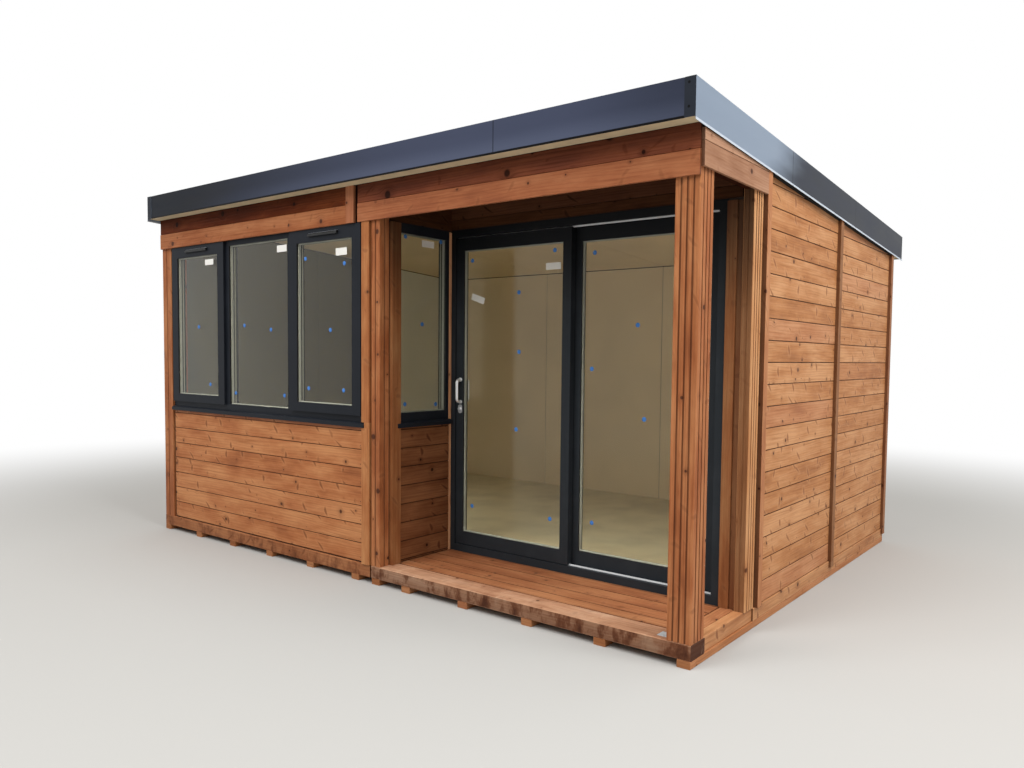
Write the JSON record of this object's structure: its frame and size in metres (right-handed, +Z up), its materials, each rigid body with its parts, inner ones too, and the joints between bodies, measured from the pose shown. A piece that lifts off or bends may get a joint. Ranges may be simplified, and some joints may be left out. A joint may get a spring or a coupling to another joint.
{
  "type": "garden office pod",
  "caption": "Timber garden office room with a shallow pent roof, a wide front window, a recessed corner porch and a sliding glazed patio door.",
  "frame": {"origin": "under the middle of the roof, on the ground plane at the underside of the bearers", "axes": "+X along the front towards the porch, +Y from the front to the back, +Z up"},
  "size_m": [4.48, 3.464, 2.5],
  "materials": {
    "bearer_timber": "sawn treated softwood",
    "rough_timber": "stained sawn softwood with knots",
    "stained_timber": "orange brown stained softwood",
    "deck_timber": "stained deck boards",
    "wall_panel": "stained cladding on an insulated timber frame",
    "pale_lining": "pale laminate lining",
    "soffit_board": "plain pale board",
    "roof_membrane": "matt black roofing membrane",
    "edge_metal": "satin anthracite coated sheet",
    "grey_frame": "satin anthracite window profile",
    "clear_glass": "clear sealed glass unit",
    "track_metal": "bare rail",
    "bright_chrome": "polished",
    "black_plastic": "black vent cover"
  },
  "bodies": {
    "pod": {"bearers": "bearer_timber", "floor_frame": "bearer_timber", "front_sill": "rough_timber", "plinth_boards": "rough_timber", "room_floor": "pale_lining", "deck_joists": "bearer_timber", "porch_deck": "deck_timber", "front_wall": "wall_panel", "left_wall": "wall_panel", "back_wall": "wall_panel", "right_wall": "wall_panel", "return_wall": "wall_panel", "door_header": "wall_panel", "door_side_wall": "wall_panel", "corner_posts": "stained_timber", "return_post": "stained_timber", "wall_post": "stained_timber", "side_battens": "stained_timber", "back_battens": "stained_timber", "corner_trims": "stained_timber", "front_header": "stained_timber", "side_header": "stained_timber", "porch_front_beam": "stained_timber", "porch_side_beam": "stained_timber", "roof_panel": "roof_membrane", "soffit_boards": "soffit_board", "front_fascia": "edge_metal", "back_fascia": "edge_metal", "side_fascias": "edge_metal", "front_window_frame": "grey_frame", "casements": "grey_frame", "front_window_glass": "clear_glass", "trickle_vents": "black_plastic", "window_cills": "grey_frame", "side_window_frame": "grey_frame", "side_window_glass": "clear_glass", "door_frame": "grey_frame", "door_tracks": "track_metal", "fixed_panel": "grey_frame", "fixed_panel_glass": "clear_glass"},
    "sliding_door": {"sliding_panel": "grey_frame", "sliding_panel_glass": "clear_glass", "pull_handles": "bright_chrome", "door_lock": "bright_chrome"}
  },
  "joints": [
    {"name": "door_slide", "type": "slide", "parent": "pod", "child": "sliding_door", "axis": [1, 0, 0], "range_m": [0, 0.8]}
  ]
}
